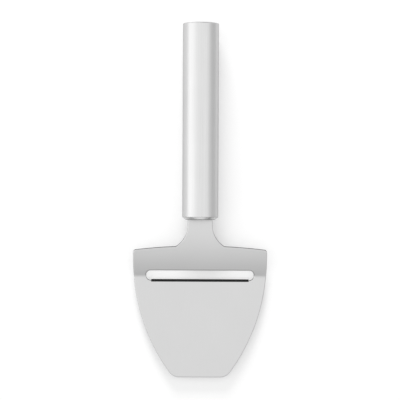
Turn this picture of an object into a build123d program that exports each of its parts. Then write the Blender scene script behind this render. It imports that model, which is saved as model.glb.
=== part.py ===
"""Cheese slicer: a bent, slotted steel blade whose tang sits in a round tube handle.

Millimetres, +Z up. The tool lies on Z = 0, on its handle tube, with its blade just clear of it.
X runs across the blade, +Y points from the blade to the rear of the handle, and the origin is
midway between the tip and the handle's end. Distances called "ahead" are measured from the
handle's front face towards the tip.
"""

from build123d import *
from math import asin, atan, cos, degrees, radians, sin, sqrt, tan
import os

# Handle tube
handle_length = 108.4
tube_diameter = 20.0
tube_wall = 0.8
tube_rim_rounding = 0.5

# Front ferrule
nose_length = 1.35
nose_chamfer_depth = 1.3
nose_land = 0.05
nose_rim_rounding = 0.15
seam_groove_width = 0.15
seam_groove_depth = 0.25
ferrule_plug_length = 9.0
plug_lead_chamfer = 0.5

# Blade in side view
sheet_thickness = 1.2
neck_straight = 2.0
bend_ahead = 33.0
bend_inner_radius = 4.2
bend_clearance = 2.2
plate_rise_angle = 1.0

# Blade in plan
blade_reach = 88.3
neck_width = 13.8
neck_fillet_start = 3.1
neck_fillet_turn = 79.2
neck_corner_radius = 0.8
shoulder_ahead = 14.75
shoulder_drop = 2.3
shoulder_corner_radius = 1.8
blade_width = 74.5
side_straight = 8.5
tip_width = 29.7
tip_corner_radius = 6.5
upper_edge_rounding = 0.55
lower_edge_rounding = 0.3

# Slot and cutting lip
slot_side_margin = 7.2
lip_ahead_of_bend = 0.6
slot_height = 5.45
slot_end_flat = 0.15
lip_end_gap = 2.85
lip_stand = 0.5
lip_bevel_width = 1.4
lip_edge_land = 0.1

# Tang inside the handle
tang_length = 62.0
tang_width = 11.0
tang_corner_radius = 1.5
pin_diameter = 3.0
pin_inset = 13.0
pin_cover = 1.67
pin_end_chamfer = 0.3

# Seal in the nose, and the core
seal_depth = 1.8
seal_stand = 0.2
seal_rim = 0.5
seal_edge_rounding = 0.05
core_rear_wall = 4.0
core_end_chamfer = 0.8

# End cap and its seal ring
cap_length = 8.0
cap_rim_chamfer = 0.3
cap_groove_width = 2.0
cap_groove_depth = 1.3
seal_ring_rounding = 0.4

# Fits and cutting
fit_clearance = 0.03
tang_clearance = 0.05
ring_side_clearance = 0.1
cut_overrun = 5.0

# The tube lies on the table, so its axis is one radius up
tube_radius = tube_diameter / 2
axis_height = tube_radius
bore_radius = tube_radius - tube_wall
plug_radius = bore_radius - fit_clearance
half_sheet = sheet_thickness / 2

# Places along Y, from the handle's front face to its end
half_length = (handle_length + blade_reach) / 2
handle_front = blade_reach - half_length
nose_chamfer_length = nose_length - seam_groove_width - nose_land
seal_front = handle_front - seal_stand
seal_radius = tube_radius - nose_chamfer_depth - seal_rim
tube_front = handle_front + nose_length
tube_rear = half_length
plug_rear = tube_front + ferrule_plug_length
core_front = plug_rear + fit_clearance
tang_rear = handle_front + tang_length
core_rear = tang_rear + core_rear_wall
cap_front = tube_rear - cap_length
cap_groove_middle = cap_length / 2
pin_places = [(0, core_front + pin_inset), (0, tang_rear - pin_inset)]
pin_length = 2 * (plug_radius - pin_cover)

# Two tangent arcs bring the sheet from the tube's axis down to its clearance over the table: the
# neck's long arc and the tight bend at the slot. Their common slope follows from the drop and
# the distance.
bend_radius = bend_inner_radius + half_sheet
bend_height = bend_radius + half_sheet + bend_clearance
bend_drop = axis_height - half_sheet - bend_clearance
slope = 2 * atan(bend_drop / (bend_ahead - neck_straight))
neck_radius = (bend_ahead - neck_straight) / sin(slope) - bend_radius
rise = radians(plate_rise_angle)

# Distances ahead of the handle's front face
lip_edge_ahead = bend_ahead + lip_ahead_of_bend
slot_front_ahead = lip_edge_ahead + lip_stand
slot_middle_ahead = slot_front_ahead - slot_height / 2
slot_length = blade_width - 2 * slot_side_margin
slot_corner_radius = (slot_height - slot_end_flat) / 2
lip_length = slot_length - 2 * lip_end_gap
widest_ahead = shoulder_ahead + side_straight
corner_end_ahead = shoulder_ahead + shoulder_drop + shoulder_corner_radius
side_run = widest_ahead - corner_end_ahead
neck_fillet_reach = shoulder_ahead + shoulder_drop - neck_fillet_start
neck_fillet_radius = neck_fillet_reach / sin(radians(neck_fillet_turn))
plate_start_ahead = bend_ahead + bend_radius * sin(rise)


def sheet_height(ahead):
    """Height of the sheet's middle surface along the straight neck and its arc."""
    arc_run = max(ahead - neck_straight, 0)
    return axis_height - neck_radius + sqrt(neck_radius**2 - arc_run**2)


# The neck and shoulders are cut square to the sheet, on a plane that touches it at the shoulder
shoulder_slope = asin((shoulder_ahead - neck_straight) / neck_radius)
shoulder_plane = Plane(
    origin=(0, handle_front - shoulder_ahead, sheet_height(shoulder_ahead)),
    x_dir=(1, 0, 0),
    z_dir=(0, -sin(shoulder_slope), cos(shoulder_slope)),
)


def on_shoulder(ahead):
    """Place, in the shoulder's plane, of the point of the sheet that is so far ahead."""
    along = (shoulder_ahead - ahead) * cos(shoulder_slope)
    up = (sheet_height(ahead) - sheet_height(shoulder_ahead)) * sin(shoulder_slope)
    return along + up


# The plate in front of the bend is flat and rises gently to the tip
plate_start_height = bend_height - bend_radius * cos(rise)
plate_plane = Plane(
    origin=(0, handle_front - plate_start_ahead, plate_start_height),
    x_dir=(1, 0, 0),
    z_dir=(0, sin(rise), cos(rise)),
)


def on_plate(ahead):
    """Place, in the plate's plane, of the point of its middle surface that is so far ahead."""
    return (plate_start_ahead - ahead) / cos(rise)


def plate_height(ahead):
    """Height of the plate's middle surface."""
    return plate_start_height + (ahead - plate_start_ahead) * tan(rise)


side_plane = Plane(origin=(0, handle_front, 0), x_dir=(0, -1, 0), z_dir=(-1, 0, 0))
axis_plane = Plane.XY.offset(axis_height)
tube_axis = Axis((0, 0, axis_height), (0, 1, 0))

# The blade's plan shape, as tall prisms that the bent strip is cut down to
with BuildPart() as blade_plan:
    # Tang, and the neck up to where its arc starts
    with BuildSketch(axis_plane) as tang_plan:
        with Locations((0, handle_front - neck_straight)):
            neck_run = core_front - handle_front + neck_straight
            Rectangle(neck_width, neck_run, align=(Align.CENTER, Align.MIN))
        with Locations((0, handle_front)):
            Rectangle(tang_width, tang_length, align=(Align.CENTER, Align.MIN))
        fillet(tang_plan.vertices().group_by(Axis.Y)[-1], radius=tang_corner_radius)
    extrude(amount=tube_radius, both=True)
    # Neck fillets and shoulders
    with BuildSketch(shoulder_plane) as shoulder_plan:
        with BuildLine():
            shoulder_side = on_shoulder(shoulder_ahead + shoulder_drop)
            shoulder_end = on_shoulder(widest_ahead - side_run / 3)
            shoulder_arc = ThreePointArc(
                (-blade_width / 2, shoulder_side), (0, 0), (blade_width / 2, shoulder_side)
            )
            Polyline(
                shoulder_arc @ 1,
                (blade_width / 2, shoulder_end),
                (-blade_width / 2, shoulder_end),
                shoulder_arc @ 0,
            )
        make_face()
        outer_corners = shoulder_plan.vertices().group_by(Axis.Y)[-1]
        fillet(outer_corners, radius=shoulder_corner_radius)
        with BuildLine():
            Line((0, on_shoulder(0)), (neck_width / 2, on_shoulder(0)))
            Line(
                (neck_width / 2, on_shoulder(0)),
                (neck_width / 2, on_shoulder(neck_fillet_start)),
            )
            neck_arc = JernArc(
                (neck_width / 2, on_shoulder(neck_fillet_start)),
                (0, -1),
                neck_fillet_radius,
                neck_fillet_turn,
            )
            Line(neck_arc @ 1, (0, (neck_arc @ 1).Y))
            mirror(about=Plane.YZ)
        make_face()
        neck_corners = shoulder_plan.vertices().filter_by(
            lambda corner: abs(corner.X) > neck_width / 2 + neck_corner_radius
            and abs(corner.X) < blade_width / 2 - 2 * shoulder_corner_radius
        )
        fillet(neck_corners, radius=neck_corner_radius)
    extrude(amount=axis_height, both=True)
    # Sides and tip
    with BuildSketch(plate_plane) as plate_plan:
        with BuildLine():
            side_start = on_plate(corner_end_ahead + side_run / 3)
            tip_tilt = (half_sheet - lower_edge_rounding) * sin(rise)
            tip_round = lower_edge_rounding * (1 - cos(rise))
            tip_place = on_plate(blade_reach - tip_tilt - tip_round)
            side_fall = on_plate(widest_ahead) - tip_place
            side_inset = (blade_width - tip_width) / 2
            side_radius = (side_fall**2 + side_inset**2) / (2 * side_inset)
            side_turn = degrees(asin(side_fall / side_radius))
            Line((0, side_start), (blade_width / 2, side_start))
            Line((blade_width / 2, side_start), (blade_width / 2, on_plate(widest_ahead)))
            side_centre = (blade_width / 2 - side_radius, on_plate(widest_ahead))
            side_arc = CenterArc(side_centre, side_radius, 0, -side_turn)
            Line(side_arc @ 1, (0, tip_place))
            mirror(about=Plane.YZ)
        make_face()
        tip_corners = plate_plan.vertices().group_by(Axis.Y)[0]
        fillet(tip_corners, radius=tip_corner_radius)
    extrude(amount=axis_height, both=True)

with BuildPart() as blade:
    # Side view of the whole strip, from the tang's end to beyond the tip
    with BuildSketch(side_plane):
        with BuildLine():
            neck_centre = (neck_straight, axis_height - neck_radius)
            bend_centre = (bend_ahead, bend_height)
            bend_start = 270 - degrees(slope)
            bend_turn = degrees(slope + rise)
            strip_ends = []
            for face_offset in (half_sheet, -half_sheet):
                neck = CenterArc(neck_centre, neck_radius + face_offset, 90, -degrees(slope))
                bend = CenterArc(bend_centre, bend_radius - face_offset, bend_start, bend_turn)
                tang_end = (-tang_length, axis_height + face_offset)
                plate_run = blade_reach - bend_ahead + cut_overrun
                plate_end = bend @ 1 + Vector(plate_run, plate_run * tan(rise))
                Line(tang_end, neck @ 0)
                Line(bend @ 1, plate_end)
                strip_ends.append((tang_end, plate_end))
            Line(strip_ends[0][0], strip_ends[1][0])
            Line(strip_ends[0][1], strip_ends[1][1])
        make_face()
    extrude(amount=blade_width, both=True)
    add(blade_plan.part, mode=Mode.INTERSECT)
    # Slot, with the cutting lip left standing into it
    with BuildSketch(Plane.XY.offset(-cut_overrun)):
        with Locations((0, handle_front - slot_middle_ahead)):
            RectangleRounded(slot_length, slot_height, slot_corner_radius)
        with Locations((0, handle_front - slot_front_ahead)):
            Rectangle(lip_length, lip_stand, align=(Align.CENTER, Align.MIN), mode=Mode.SUBTRACT)
    extrude(amount=cut_overrun + axis_height, mode=Mode.SUBTRACT)
    # Holes for the pins through the tang
    with BuildSketch(axis_plane):
        with Locations(pin_places):
            Circle(pin_diameter / 2 + fit_clearance)
    extrude(amount=sheet_thickness, both=True, mode=Mode.SUBTRACT)

    # Round the cut outline ahead of the handle, which is every edge between the sheet's faces and
    # its cut walls apart from the cutting lip's, first underneath and then on top
    lip_middle = Vector(0, handle_front - (lip_edge_ahead + slot_front_ahead) / 2)
    for side, rounding in ((-1, lower_edge_rounding), (1, upper_edge_rounding)):
        walls = blade.faces().filter_by(lambda face: abs(face.normal_at().Z) < sin(radians(30)))
        sheet = blade.faces().filter_by(lambda face: side * face.normal_at().Z > sin(radians(50)))
        wall_edges = walls.edges()
        outline = sheet.edges().filter_by(lambda edge: edge in wall_edges)
        outline = outline.filter_by(lambda edge: edge.center().Y < handle_front)
        outline = outline.filter_by(
            lambda edge: abs(edge.center().X) > lip_length / 2
            or abs(edge.center().Y - lip_middle.Y) > lip_stand
        )
        fillet(outline, radius=rounding)
    # Bevel ground on the lip's upper face, down to a sharp edge that faces the handle
    with BuildSketch(side_plane):
        bevel_low = Vector(
            lip_edge_ahead,
            plate_height(lip_edge_ahead) - half_sheet / cos(rise) + lip_edge_land,
        )
        bevel_end_ahead = lip_edge_ahead + lip_bevel_width
        bevel_high = Vector(bevel_end_ahead, plate_height(bevel_end_ahead) + half_sheet / cos(rise))
        bevel_back = bevel_low + (bevel_low - bevel_high)
        bevel_front = bevel_high + (bevel_high - bevel_low)
        with BuildLine():
            Polyline(bevel_back, bevel_front, (bevel_back.X, bevel_front.Y), close=True)
        make_face()
    extrude(amount=lip_length / 2, both=True, mode=Mode.SUBTRACT)
blade.part.label = "blade"

with BuildPart() as handle_tube:
    with BuildSketch(Plane.XZ.offset(-tube_front)):
        with Locations((0, axis_height)):
            Circle(tube_radius)
            Circle(bore_radius, mode=Mode.SUBTRACT)
    extrude(amount=tube_front - tube_rear)
    rear_rim = handle_tube.edges().group_by(Axis.Y)[-1].sort_by(SortBy.RADIUS)[-1]
    fillet(rear_rim, radius=tube_rim_rounding)
handle_tube.part.label = "handle_tube"

with BuildPart() as front_ferrule:
    # Turned plug: chamfered nose, seam groove against the tube, and a plug inside it
    with BuildSketch(axis_plane):
        with BuildLine():
            groove_front = tube_front - seam_groove_width
            groove_radius = tube_radius - seam_groove_depth
            Polyline(
                (0, handle_front),
                (tube_radius - nose_chamfer_depth, handle_front),
                (tube_radius, handle_front + nose_chamfer_length),
                (tube_radius, groove_front),
                (groove_radius, groove_front),
                (groove_radius, tube_front),
                (plug_radius, tube_front),
                (plug_radius, plug_rear - plug_lead_chamfer),
                (plug_radius - plug_lead_chamfer, plug_rear),
                (0, plug_rear),
                close=True,
            )
        make_face()
    revolve(axis=tube_axis)
    nose_rim = front_ferrule.edges().group_by(Axis.Y)[0]
    fillet(nose_rim, radius=nose_rim_rounding)
    # Recess for the seal
    with BuildSketch(Plane.XZ.offset(-handle_front)):
        with Locations((0, axis_height)):
            Circle(seal_radius + fit_clearance)
    extrude(amount=-seal_depth, mode=Mode.SUBTRACT)
    # Window for the neck of the blade
    with BuildSketch(Plane.XZ.offset(-handle_front + cut_overrun)):
        with Locations((0, axis_height)):
            Rectangle(neck_width + 2 * fit_clearance, sheet_thickness + 2 * fit_clearance)
    extrude(amount=handle_front - cut_overrun - tube_rear, mode=Mode.SUBTRACT)
front_ferrule.part.label = "front_ferrule"

with BuildPart() as neck_seal:
    # Stands a little proud of the nose, round the neck
    with BuildSketch(Plane.XZ.offset(-seal_front)):
        with Locations((0, axis_height)):
            Circle(seal_radius)
            Rectangle(
                neck_width + 2 * fit_clearance,
                sheet_thickness + 2 * fit_clearance,
                mode=Mode.SUBTRACT,
            )
    extrude(amount=seal_front - handle_front - seal_depth)
    seal_edge = neck_seal.edges().filter_by(GeomType.CIRCLE).group_by(Axis.Y)[0]
    fillet(seal_edge, radius=seal_edge_rounding)
neck_seal.part.label = "neck_seal"

# The two core halves meet on the tube's axis plane and share a pocket for the tang
with BuildPart() as whole_core:
    with BuildSketch(Plane.XZ.offset(-core_front)):
        with Locations((0, axis_height)):
            Circle(plug_radius)
    extrude(amount=core_front - core_rear)
    chamfer(whole_core.edges().group_by(Axis.Y)[-1], length=core_end_chamfer)
    with BuildSketch(axis_plane):
        with Locations((0, core_front)):
            pocket_length = tang_rear + tang_clearance - core_front
            pocket_width = tang_width + 2 * tang_clearance
            Rectangle(pocket_width, pocket_length, align=(Align.CENTER, Align.MIN))
    extrude(amount=half_sheet + tang_clearance, both=True, mode=Mode.SUBTRACT)
    with BuildSketch(axis_plane):
        with Locations(pin_places):
            Circle(pin_diameter / 2 + fit_clearance)
    extrude(amount=pin_length / 2 + fit_clearance, both=True, mode=Mode.SUBTRACT)

with BuildPart() as core_lower:
    add(whole_core.part)
    split(bisect_by=axis_plane, keep=Keep.BOTTOM)
core_lower.part.label = "core_lower"

with BuildPart() as core_upper:
    add(whole_core.part)
    split(bisect_by=axis_plane, keep=Keep.TOP)
core_upper.part.label = "core_upper"

with BuildPart() as tang_pins:
    with BuildSketch(axis_plane):
        with Locations(pin_places):
            Circle(pin_diameter / 2)
    extrude(amount=pin_length / 2, both=True)
    pin_rims = tang_pins.edges().group_by(Axis.Z)
    chamfer(pin_rims[0] + pin_rims[-1], length=pin_end_chamfer)
tang_pins.part.label = "tang_pins"

with BuildPart() as end_cap:
    # Turned disc, flush with the tube's end, with a groove for its seal ring
    with BuildSketch(axis_plane):
        with BuildLine():
            groove_rear = tube_rear - cap_groove_middle + cap_groove_width / 2
            groove_floor = plug_radius - cap_groove_depth
            Polyline(
                (0, cap_front),
                (plug_radius - plug_lead_chamfer, cap_front),
                (plug_radius, cap_front + plug_lead_chamfer),
                (plug_radius, groove_rear - cap_groove_width),
                (groove_floor, groove_rear - cap_groove_width),
                (groove_floor, groove_rear),
                (plug_radius, groove_rear),
                (plug_radius, tube_rear - cap_rim_chamfer),
                (plug_radius - cap_rim_chamfer, tube_rear),
                (0, tube_rear),
                close=True,
            )
        make_face()
    revolve(axis=tube_axis)
end_cap.part.label = "end_cap"

with BuildPart() as end_cap_seal:
    with BuildSketch(axis_plane) as ring_section:
        ring_depth = cap_groove_depth - fit_clearance
        ring_width = cap_groove_width - 2 * ring_side_clearance
        with Locations((plug_radius, tube_rear - cap_groove_middle)):
            Rectangle(ring_depth, ring_width, align=(Align.MAX, Align.CENTER))
        fillet(ring_section.vertices(), radius=seal_ring_rounding)
    revolve(axis=tube_axis)
end_cap_seal.part.label = "end_cap_seal"

os.makedirs("parts", exist_ok=True)
export_step(blade.part, "parts/blade.step")
export_step(handle_tube.part, "parts/handle_tube.step")
export_step(front_ferrule.part, "parts/front_ferrule.step")
export_step(neck_seal.part, "parts/neck_seal.step")
export_step(core_lower.part, "parts/core_lower.step")
export_step(core_upper.part, "parts/core_upper.step")
export_step(tang_pins.part, "parts/tang_pins.step")
export_step(end_cap.part, "parts/end_cap.step")
export_step(end_cap_seal.part, "parts/end_cap_seal.step")
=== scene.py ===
"""Looks of the cheese slicer: the finish of every piece, the studio it lies in and the camera.

Metres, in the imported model's frame: +Y runs from the blade to the handle's end, X across the
blade, +Z up, and the tool lies on Z = 0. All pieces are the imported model's own nodes, whose
shapes are right as they are, so this script gives them their finishes.
"""

from math import cos, pi, radians, sin

import bpy
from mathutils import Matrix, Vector


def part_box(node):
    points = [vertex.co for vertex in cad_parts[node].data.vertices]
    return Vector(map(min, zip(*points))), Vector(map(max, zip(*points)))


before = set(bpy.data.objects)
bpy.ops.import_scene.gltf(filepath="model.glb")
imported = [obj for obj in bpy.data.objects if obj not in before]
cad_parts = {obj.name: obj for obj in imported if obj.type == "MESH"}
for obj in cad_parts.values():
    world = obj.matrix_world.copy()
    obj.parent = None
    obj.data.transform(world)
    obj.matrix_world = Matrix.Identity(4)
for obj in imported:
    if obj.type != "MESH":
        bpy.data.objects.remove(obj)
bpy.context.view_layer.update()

MM = 0.001

# Camera: it looks straight down from above the middle of the tool, turned a little
PICTURE_PIXELS = 400
FOCAL_PIXELS = 1606.0
SENSOR_WIDTH = 36.0
CAMERA_PLACE = (-0.15 * MM, 0.60 * MM, 900 * MM)
CAMERA_ROLL = radians(0.25)
CAMERA_CLIP = (0.05, 20.0)

# Noises: cycles per metre. Brushed marks have one scale along the grain and one across it.
FINE_BRUSHING = (40.0, 4700.0)
COARSE_BRUSHING = (14.0, 1900.0)
FINE_RINGS = 4300.0
COARSE_RINGS = 1100.0
CLOUDS = 55.0
NOISE_DETAIL = 2.0
# Most of a noise's values are between these two
NOISE_CORE = (0.3, 0.7)

# Marked steel: the shares of fine marks, coarse marks and clouds in its shade, how far its tone
# goes up and down, and how much brushing, rings and clouds vary its roughness
FINE_SHARE = 0.3
COARSE_SHARE = 0.5
CLOUD_SHARE = 0.2
TONE_SPREAD = 0.03
BRUSHING_ROUGHNESS = 0.04
RING_ROUGHNESS = 0.05
CLOUD_ROUGHNESS = 0.03

# How strongly the marks show as a bump, and how deep they are: deep on the tube, the ferrule
# and the cap, light on the pins and the blade
STEEL_BUMP = 0.2
DEEP_MARKS = 0.002 * MM
LIGHT_MARKS = 0.001 * MM

# How much steel reflects where it is seen edge-on, where 1 is all
FULL_EDGE_TINT = 1.0
BRUSHED_EDGE_TINT = 0.78
BLADE_EDGE_TINT = 0.86

# The handle as the frame has it: how high its axis is, which is the tube's radius too, and
# where the tube and the ferrule start along Y
TUBE_LOW, TUBE_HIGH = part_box("handle_tube")
AXIS_HEIGHT = (TUBE_LOW.z + TUBE_HIGH.z) / 2
TUBE_FRONT = TUBE_LOW.y
HANDLE_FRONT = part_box("front_ferrule")[0].y

# The groove in the ferrule, in front of the tube, which is painted darker as painted shade: its
# width, how far inside the tube's radius the painted shade starts, and how far past the groove it
# goes along Y
SEAM_WIDTH = 0.15 * MM
SEAM_SUNK = 0.07 * MM
SEAM_MARGIN = 0.01 * MM
SEAM_START = TUBE_FRONT - SEAM_WIDTH - SEAM_MARGIN
SEAM_END = TUBE_FRONT + SEAM_MARGIN
SEAM_REACH = AXIS_HEIGHT - SEAM_SUNK
SEAM_SHADE_TONE = 0.3

# The blade's sheet
SHEET_TONES = (0.685, 0.70)
SHEET_GRAIN_SHARE = 0.5
SHEET_ROUGHNESS = 0.295

# The sheet's rounded cut edge is where the upward part of its normals is less than this, with
# a soft start; its darker tone is partly duller cut steel and partly painted edge shade. Where
# their part to +Y, towards the handle, is more, it is painted much darker: painted shade
CUT_EDGE = (0.76, 0.88)
CUT_EDGE_DULL_AND_SHADE_TONE = 0.62
BACK_FACING_SHADE_EDGE = (0.15, 0.5)
BACK_FACING_SHADE_TONE = 0.17

# The slot is as long as the blade's width without a margin at each end. The cutting lip stands
# into it from its front edge, and the lip's edge is this far in front of the handle.
SLOT_SIDE_MARGIN = 7.2 * MM
SLOT_HEIGHT = 5.45 * MM
SLOT_RADIUS = 2.65 * MM
LIP_AHEAD = 33.6 * MM
LIP_STAND = 0.5 * MM
SLOT_HALF_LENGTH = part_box("blade")[1].x - SLOT_SIDE_MARGIN
LIP_EDGE = HANDLE_FRONT - LIP_AHEAD

# The slot's middle along Y, and half of the flat part of its long and short sides. Its rear
# rim is painted darker for a little way: painted shade.
SLOT_MIDDLE = LIP_EDGE - LIP_STAND + SLOT_HEIGHT / 2
SLOT_LONG_FLAT = SLOT_HALF_LENGTH - SLOT_RADIUS
SLOT_SHORT_FLAT = SLOT_HEIGHT / 2 - SLOT_RADIUS
SLOT_RIM_SHADE_FADE = (0.35 * MM, 0.75 * MM)
SLOT_RIM_SHADE_TONE = 0.5

# The ground bevel of the lip: how much shorter than the slot it is at each end, where its edges
# are along Y and a height that is just below it. Its marks are square to the edge. Its near-black
# tones are a painted dark reflection.
LIP_END_GAP = 2.85 * MM
BEVEL_WIDTH = 1.4 * MM
BEVEL_MARGIN = 0.05 * MM
BEVEL_HALF_LENGTH = SLOT_HALF_LENGTH - LIP_END_GAP
BEVEL_FRONT = LIP_EDGE - BEVEL_WIDTH
BEVEL_REAR = LIP_EDGE + BEVEL_MARGIN
BEVEL_FOOT = 2.34 * MM
BEVEL_MARKS = (9000.0, 300.0, 300.0)
BEVEL_PAINTED_REFLECTION_TONES = (0.045, 0.085)
BEVEL_ROUGHNESS = 0.10
BEVEL_ROUGHNESS_SPREAD = 0.05

# Moulded pieces: the scale of their clouds, how much these vary tone and roughness, and how
# strongly the texture shows as a bump
MOULD_CLOUDS = 120.0
MOULD_TONE_SPREAD = 0.07
MOULD_ROUGHNESS_SPREAD = 0.06
MOULD_BUMP = 0.3

# Floor: its colour, and its own light as the camera sees it and as metal mirrors it on the left
# and on the right of the tool; on the right, as metal mirrors it, its colour is also painted
# darker: painted shade. The sides are distances to the right of the middle, the front ones
# distances in front of it, the far ones distances from it.
FLOOR_WIDTH = 8.0
FLOOR_COLOUR = 0.60
FLOOR_LIFT = 0.38
FLOOR_LIFT_LEFT = 0.17
FLOOR_LIFT_RIGHT = 0.0
FLOOR_RIGHT_MIRRORED_SHADE = 0.12
FLOOR_SIDES = (30 * MM, 60 * MM)
FLOOR_FRONT = (120 * MM, 180 * MM)
FLOOR_FAR = (200 * MM, 500 * MM)

# Room: its light all round, the overhead light and the light on the left, where 1 is white. An
# edge is where a change starts and ends, as the square of how far a direction points that way.
ROOM_LIGHT = 0.6
OVERHEAD_LIGHT = 0.4
RIGHT_EDGE = (0.40, 1.0)
FRONT_FALL = 1.5
FRONT_EDGE = (0.80, 0.95)
FRONT_GLOW = 1.0
BACK_EDGE = (0.30, 0.46)
BACK_DARK = 0.55
LEFT_LIGHT = 0.33
LEFT_TILT = radians(66)
LEFT_NARROWNESS = 6.0

# Key light: its brightness, where 1 is white, its side, its distance from the tool's middle, how
# far it is tilted from straight up and its heading from +X
KEY_RADIANCE = 20.0
KEY_SIZE = 0.5
KEY_DISTANCE = 1.4
KEY_TILT = radians(70)
KEY_HEADING = radians(97)


class Wire:
    """A socket of a node tree whose arithmetic adds Math nodes, so that maths reads as Python."""

    def __init__(self, shop, socket):
        self.shop = shop
        self.socket = socket

    def _math(self, operation, *values):
        return self.shop.node("ShaderNodeMath", {"operation": operation}, dict(enumerate(values)))

    def __add__(self, other):
        return self._math("ADD", self, other)

    __radd__ = __add__

    def __sub__(self, other):
        return self._math("SUBTRACT", self, other)

    def __rsub__(self, other):
        return self._math("SUBTRACT", other, self)

    def __mul__(self, other):
        return self._math("MULTIPLY", self, other)

    __rmul__ = __mul__

    def __pow__(self, other):
        return self._math("POWER", self, other)

    def __rpow__(self, other):
        return self._math("POWER", other, self)

    def maximum(self, other):
        return self._math("MAXIMUM", self, other)

    def minimum(self, other):
        return self._math("MINIMUM", self, other)

    def above(self, level):
        """1 above the level and 0 below it."""
        return self._math("GREATER_THAN", self, level)

    def below(self, level):
        """1 below the level and 0 above it."""
        return self._math("LESS_THAN", self, level)

    def size(self):
        return self._math("ABSOLUTE", self)

    def between(self, low, high):
        """0 below low, 1 above high, and a smooth step between them."""
        inputs = {"Value": self, "From Min": low, "From Max": high}
        settings = {"interpolation_type": "SMOOTHSTEP"}
        return self.shop.node("ShaderNodeMapRange", settings, inputs)


class Shop:
    """Builds the node tree of a material or a world."""

    def __init__(self, owner):
        self.owner = owner
        owner.use_nodes = True
        self.tree = owner.node_tree
        self.tree.nodes.clear()

    def node(self, kind, settings=None, inputs=None, output=0):
        """A node of that type: settings first, then its sockets' values or links."""
        made = self.tree.nodes.new(kind)
        for name, value in (settings or {}).items():
            setattr(made, name, value)
        for name, value in (inputs or {}).items():
            if isinstance(value, Wire):
                self.tree.links.new(value.socket, made.inputs[name])
            else:
                made.inputs[name].default_value = value
        return Wire(self, made.outputs[output]) if made.outputs else made

    def parts(self, vector):
        """The X, Y and Z of a vector."""
        split = self.node("ShaderNodeSeparateXYZ", None, {"Vector": vector}).socket.node
        return [Wire(self, socket) for socket in split.outputs]

    def light_path(self, kind):
        """1 for a ray of that kind and 0 for others."""
        return self.node("ShaderNodeLightPath", output=kind)


class Finish(Shop):
    """A material."""

    def __init__(self, name):
        super().__init__(bpy.data.materials.new(name))

    def place(self):
        """Object coordinates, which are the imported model's frame in metres."""
        return self.node("ShaderNodeTexCoord", output="Object")

    def noise(self, where, scale):
        inputs = {"Vector": where, "Scale": scale, "Detail": NOISE_DETAIL}
        return self.node("ShaderNodeTexNoise", None, inputs, output="Fac")

    def stretched_noise(self, where, scales):
        """A noise with its own scale along each axis, so that it can be drawn out along one."""
        there = self.node("ShaderNodeMapping", None, {"Vector": where, "Scale": scales})
        return self.noise(there, 1.0)

    def mixed(self, factor, low, high):
        """A colour from low to high as factor goes from 0 to 1."""
        inputs = {"Factor": factor, 6: low, 7: high}
        return self.node("ShaderNodeMix", {"data_type": "RGBA"}, inputs, output=2)

    def toned(self, noise, low, high):
        """A grey from low to high, over the core of a noise's values."""
        return self.mixed(noise.between(*NOISE_CORE), grey(low), grey(high))

    def bump(self, height, strength, depth):
        inputs = {"Height": height, "Strength": strength, "Distance": depth}
        return self.node("ShaderNodeBump", None, inputs)

    def surface(self, inputs):
        """The finished material, whose shader has those inputs."""
        shader = self.node("ShaderNodeBsdfPrincipled", None, inputs)
        self.node("ShaderNodeOutputMaterial", None, {"Surface": shader})
        return self.owner


def grey(value):
    return (value, value, value, 1.0)


def distance(first, second):
    """How long a line is that goes so far along two axes: the root of the sum of squares."""
    return (first * first + second * second) ** 0.5


def varied(level, noise, spread):
    """A level that a noise moves up and down by half the spread at most."""
    return level + spread * (noise - 0.5)


def steel(finish, colour, roughness, marks, depth, edge_tint):
    """Bare stainless steel whose marks are a shallow bump."""
    inputs = {
        "Base Color": colour,
        "Metallic": 1.0,
        "Roughness": roughness,
        "Specular Tint": grey(edge_tint),
        "Normal": finish.bump(marks, STEEL_BUMP, depth),
    }
    return finish.surface(inputs)


def brushed_steel(name, tone, along, rough, depth):
    """Stainless steel with marks drawn out along an axis: fine and coarse ones vary its tone,
    the coarse ones its roughness, and the fine ones are its bump."""
    finish = Finish(name)
    here = finish.place()
    marks = []
    for scale_along, scale_across in (FINE_BRUSHING, COARSE_BRUSHING):
        scales = tuple(scale_along if axis == along else scale_across for axis in "XYZ")
        marks.append(finish.stretched_noise(here, scales))
    fine, coarse = marks
    clouds = finish.noise(here, CLOUDS)
    shade = FINE_SHARE * fine + COARSE_SHARE * coarse + CLOUD_SHARE * clouds
    colour = finish.toned(shade, tone - TONE_SPREAD, tone + TONE_SPREAD)
    roughness = varied(varied(rough, coarse, BRUSHING_ROUGHNESS), clouds, CLOUD_ROUGHNESS)
    return steel(finish, colour, roughness, fine, depth, BRUSHED_EDGE_TINT)


def turned_steel(name, tone, rough, depth, with_seam_shade=False):
    """Stainless steel turned round the handle's axis: the tool's fine and coarse rings are
    noises of the distance from the axis and of the place along it. Where the piece has it, the
    groove in front of the tube is painted darker: painted shade."""
    finish = Finish(name)
    here = finish.place()
    east, along, up = finish.parts(here)
    radius = distance(east, up - AXIS_HEIGHT)
    spot = finish.node("ShaderNodeCombineXYZ", None, {"X": radius, "Y": along})
    fine = finish.noise(spot, FINE_RINGS)
    coarse = finish.noise(spot, COARSE_RINGS)
    clouds = finish.noise(here, CLOUDS)
    shade = FINE_SHARE * fine + COARSE_SHARE * coarse + CLOUD_SHARE * clouds
    colour = finish.toned(shade, tone - TONE_SPREAD, tone + TONE_SPREAD)
    # Painted shade: the groove in front of the tube is painted darker
    if with_seam_shade:
        seam = along.above(SEAM_START) * along.below(SEAM_END) * radius.below(SEAM_REACH)
        colour = finish.mixed(seam, colour, grey(SEAM_SHADE_TONE))
    roughness = varied(varied(rough, coarse, RING_ROUGHNESS), clouds, CLOUD_ROUGHNESS)
    return steel(finish, colour, roughness, fine, depth, FULL_EDGE_TINT)


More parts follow.
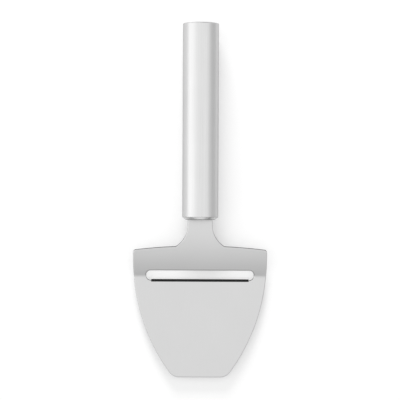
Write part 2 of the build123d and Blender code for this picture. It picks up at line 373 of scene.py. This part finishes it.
def slot_rim_shade(east, north):
    """Where the painted shade goes: 1 at the slot's rear edge and round its ends, 0 a little way
    off and in front.
    """
    behind = north - SLOT_MIDDLE
    past_end = (east.size() - SLOT_LONG_FLAT).maximum(0.0)
    past_side = (behind - SLOT_SHORT_FLAT).maximum(0.0)
    off_edge = distance(past_end, past_side) - SLOT_RADIUS
    return (1 - off_edge.between(*SLOT_RIM_SHADE_FADE)) * behind.above(0.0)


def blade_steel():
    """The blade's satin sheet, with rolling grain along the tool, painted shade on its cut edge
    and along the slot's rear rim, and the smoother bevel that is ground on the cutting lip,
    painted near black as a painted dark reflection."""
    finish = Finish("satin_sheet_steel")
    here = finish.place()
    east, north, up = finish.parts(here)
    grain_along, grain_across = FINE_BRUSHING
    grain = finish.stretched_noise(here, (grain_across, grain_along, grain_across))
    clouds = finish.noise(here, CLOUDS)
    shade = SHEET_GRAIN_SHARE * grain + (1 - SHEET_GRAIN_SHARE) * clouds
    sheet = finish.toned(shade, *SHEET_TONES)

    normal = finish.node("ShaderNodeNewGeometry", output="Normal")
    _, facing_back, facing_up = finish.parts(normal)
    # Painted shade: cut edges facing the handle are painted much darker, the rest of the cut edge
    # a little darker
    back_facing_shade = facing_back.between(*BACK_FACING_SHADE_EDGE)
    edge = finish.mixed(back_facing_shade, grey(CUT_EDGE_DULL_AND_SHADE_TONE), grey(BACK_FACING_SHADE_TONE))
    sheet = finish.mixed(1 - facing_up.size().between(*CUT_EDGE), sheet, edge)
    # Painted shade along the slot's rear rim and round its ends
    sheet = finish.mixed(slot_rim_shade(east, north), sheet, grey(SLOT_RIM_SHADE_TONE))

    bevel = east.size().below(BEVEL_HALF_LENGTH) * up.above(BEVEL_FOOT)
    bevel = bevel * north.above(BEVEL_FRONT) * north.below(BEVEL_REAR)
    marks = finish.stretched_noise(here, BEVEL_MARKS)
    # Painted reflection: the polished bevel is painted near black for the dark it reflects
    colour = finish.mixed(bevel, sheet, finish.toned(marks, *BEVEL_PAINTED_REFLECTION_TONES))
    satin = varied(SHEET_ROUGHNESS, clouds, CLOUD_ROUGHNESS)
    polished = varied(BEVEL_ROUGHNESS, marks, BEVEL_ROUGHNESS_SPREAD)
    roughness = satin + bevel * (polished - satin)
    return steel(finish, colour, roughness, grain, LIGHT_MARKS, BLADE_EDGE_TINT)


def moulded(name, tone, rough, texture_scale, texture_depth):
    """Moulded plastic or silicone with a fine spark-eroded texture."""
    finish = Finish(name)
    here = finish.place()
    texture = finish.noise(here, texture_scale)
    clouds = finish.noise(here, MOULD_CLOUDS)
    dark = grey(tone * (1 - MOULD_TONE_SPREAD))
    light = grey(tone * (1 + MOULD_TONE_SPREAD))
    inputs = {
        "Base Color": finish.mixed(clouds, dark, light),
        "Roughness": varied(rough, clouds, MOULD_ROUGHNESS_SPREAD),
        "Normal": finish.bump(texture, MOULD_BUMP, texture_depth),
    }
    return finish.surface(inputs)


def dress():
    """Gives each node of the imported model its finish."""
    tube = brushed_steel("brushed_tube_steel", tone=0.76, along="Y", rough=0.305, depth=DEEP_MARKS)
    pins = brushed_steel("ground_pin_steel", tone=0.7, along="Z", rough=0.2, depth=LIGHT_MARKS)
    ferrule = turned_steel(
        "turned_ferrule_steel", tone=0.84, rough=0.2, depth=DEEP_MARKS, with_seam_shade=True
    )
    cap = turned_steel("turned_cap_steel", tone=0.75, rough=0.22, depth=DEEP_MARKS)
    core = moulded(
        "core_plastic", tone=0.16, rough=0.5, texture_scale=2600.0, texture_depth=0.01 * MM
    )
    seal = moulded(
        "seal_silicone", tone=0.03, rough=0.62, texture_scale=1800.0, texture_depth=0.005 * MM
    )
    finishes = {
        "blade": blade_steel(),
        "handle_tube": tube,
        "front_ferrule": ferrule,
        "end_cap": cap,
        "tang_pins": pins,
        "core_lower": core,
        "core_upper": core,
        "neck_seal": seal,
        "end_cap_seal": seal,
    }
    for name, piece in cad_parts.items():
        piece.data.materials[0] = finishes[name]


def lay_floor():
    """A pale floor under the tool. The camera also sees a little light of its own in it, so that
    it reads as white, and so does what mirrors it: all of that light in front of the tip, less
    beside the tool on the left and least on the right. The shadows stay. Far from the tool the
    camera sees plain white."""
    half = FLOOR_WIDTH / 2
    mesh = bpy.data.meshes.new("floor")
    corners = [(-half, -half, 0), (half, -half, 0), (half, half, 0), (-half, half, 0)]
    mesh.from_pydata(corners, [], [(0, 1, 2, 3)])
    floor = bpy.data.objects.new("floor", mesh)
    bpy.context.scene.collection.objects.link(floor)

    finish = Finish("floor_paper")
    east, north, _ = finish.parts(finish.place())
    seen = finish.light_path("Is Camera Ray")
    mirrored = finish.light_path("Is Glossy Ray").maximum(finish.light_path("Is Transmission Ray"))
    right = east.between(*FLOOR_SIDES)
    front = (0 - north).between(*FLOOR_FRONT)
    far = distance(east, north).between(*FLOOR_FAR)
    beside = FLOOR_LIFT_LEFT + (FLOOR_LIFT_RIGHT - FLOOR_LIFT_LEFT) * right
    white = seen * (FLOOR_LIFT + (1 - FLOOR_LIFT) * far)
    lift = white.maximum(mirrored * (beside + front * (FLOOR_LIFT - beside)))
    # Painted shade: as metal mirrors it, the floor right of the tool is painted darker
    tone = FLOOR_COLOUR * (1 - FLOOR_RIGHT_MIRRORED_SHADE * mirrored * right * (1 - front))
    colour = finish.node("ShaderNodeCombineXYZ", None, {"X": tone, "Y": tone, "Z": tone})
    paper = finish.node("ShaderNodeBsdfDiffuse", None, {"Color": colour})
    glow = finish.node("ShaderNodeEmission", None, {"Strength": lift})
    both = finish.node("ShaderNodeAddShader", None, {0: paper, 1: glow})
    finish.node("ShaderNodeOutputMaterial", None, {"Surface": both})
    mesh.materials.append(finish.owner)


def light_room():
    """A pale room under a broad overhead light. The overhead light is whole straight up and fades
    out to the right and, slowly, to the front, where a pale wall stands low down. A second light
    stands low on the left. Low down behind the handle's end the room is dimmer. The camera sees
    plain white past the floor's far edge."""
    world = bpy.data.worlds.new("room")
    shop = Shop(world)
    east, north, up = shop.parts(shop.node("ShaderNodeTexCoord", output="Generated"))
    right = east.maximum(0.0) ** 2
    front = north.minimum(0.0) ** 2
    back = north.maximum(0.0) ** 2
    overhead = (1 - FRONT_FALL * front) * (1 - right.between(*RIGHT_EDGE))
    towards_left = up * cos(LEFT_TILT) - east * sin(LEFT_TILT)
    left = LEFT_LIGHT * towards_left.maximum(0.0) ** LEFT_NARROWNESS
    light = ROOM_LIGHT + OVERHEAD_LIGHT * overhead + left
    light = light * (1 + FRONT_GLOW * front.between(*FRONT_EDGE))
    light = light * (1 - BACK_DARK * back.between(*BACK_EDGE))
    light = light + shop.light_path("Is Camera Ray") * (1 - light)
    sky = shop.node("ShaderNodeBackground", None, {"Color": grey(1.0), "Strength": light})
    shop.node("ShaderNodeOutputWorld", None, {"Surface": sky})
    bpy.context.scene.world = world


def place_key():
    """A square soft light behind the handle's end that faces the middle of the tool. Neither the
    camera nor metal sees it: it lights the floor, so that the tool has a soft shadow."""
    lamp = bpy.data.lights.new("key_softbox", "AREA")
    lamp.shape = "SQUARE"
    lamp.size = KEY_SIZE
    lamp.energy = KEY_RADIANCE * pi * KEY_SIZE**2
    key = bpy.data.objects.new("key_softbox", lamp)
    bpy.context.scene.collection.objects.link(key)
    sideways = sin(KEY_TILT)
    way = Vector((sideways * cos(KEY_HEADING), sideways * sin(KEY_HEADING), cos(KEY_TILT)))
    key.location = way * KEY_DISTANCE
    key.rotation_euler = way.to_track_quat("Z", "Y").to_euler()
    key.visible_camera = False
    key.visible_glossy = False


def place_camera():
    lens = bpy.data.cameras.new("camera")
    lens.sensor_width = SENSOR_WIDTH
    lens.lens = FOCAL_PIXELS * SENSOR_WIDTH / PICTURE_PIXELS
    lens.clip_start, lens.clip_end = CAMERA_CLIP
    camera = bpy.data.objects.new("camera", lens)
    camera.location = CAMERA_PLACE
    camera.rotation_euler = (0, 0, CAMERA_ROLL)
    bpy.context.scene.collection.objects.link(camera)
    bpy.context.scene.camera = camera


dress()
lay_floor()
light_room()
place_key()
place_camera()
bpy.context.scene.view_settings.view_transform = "Standard"
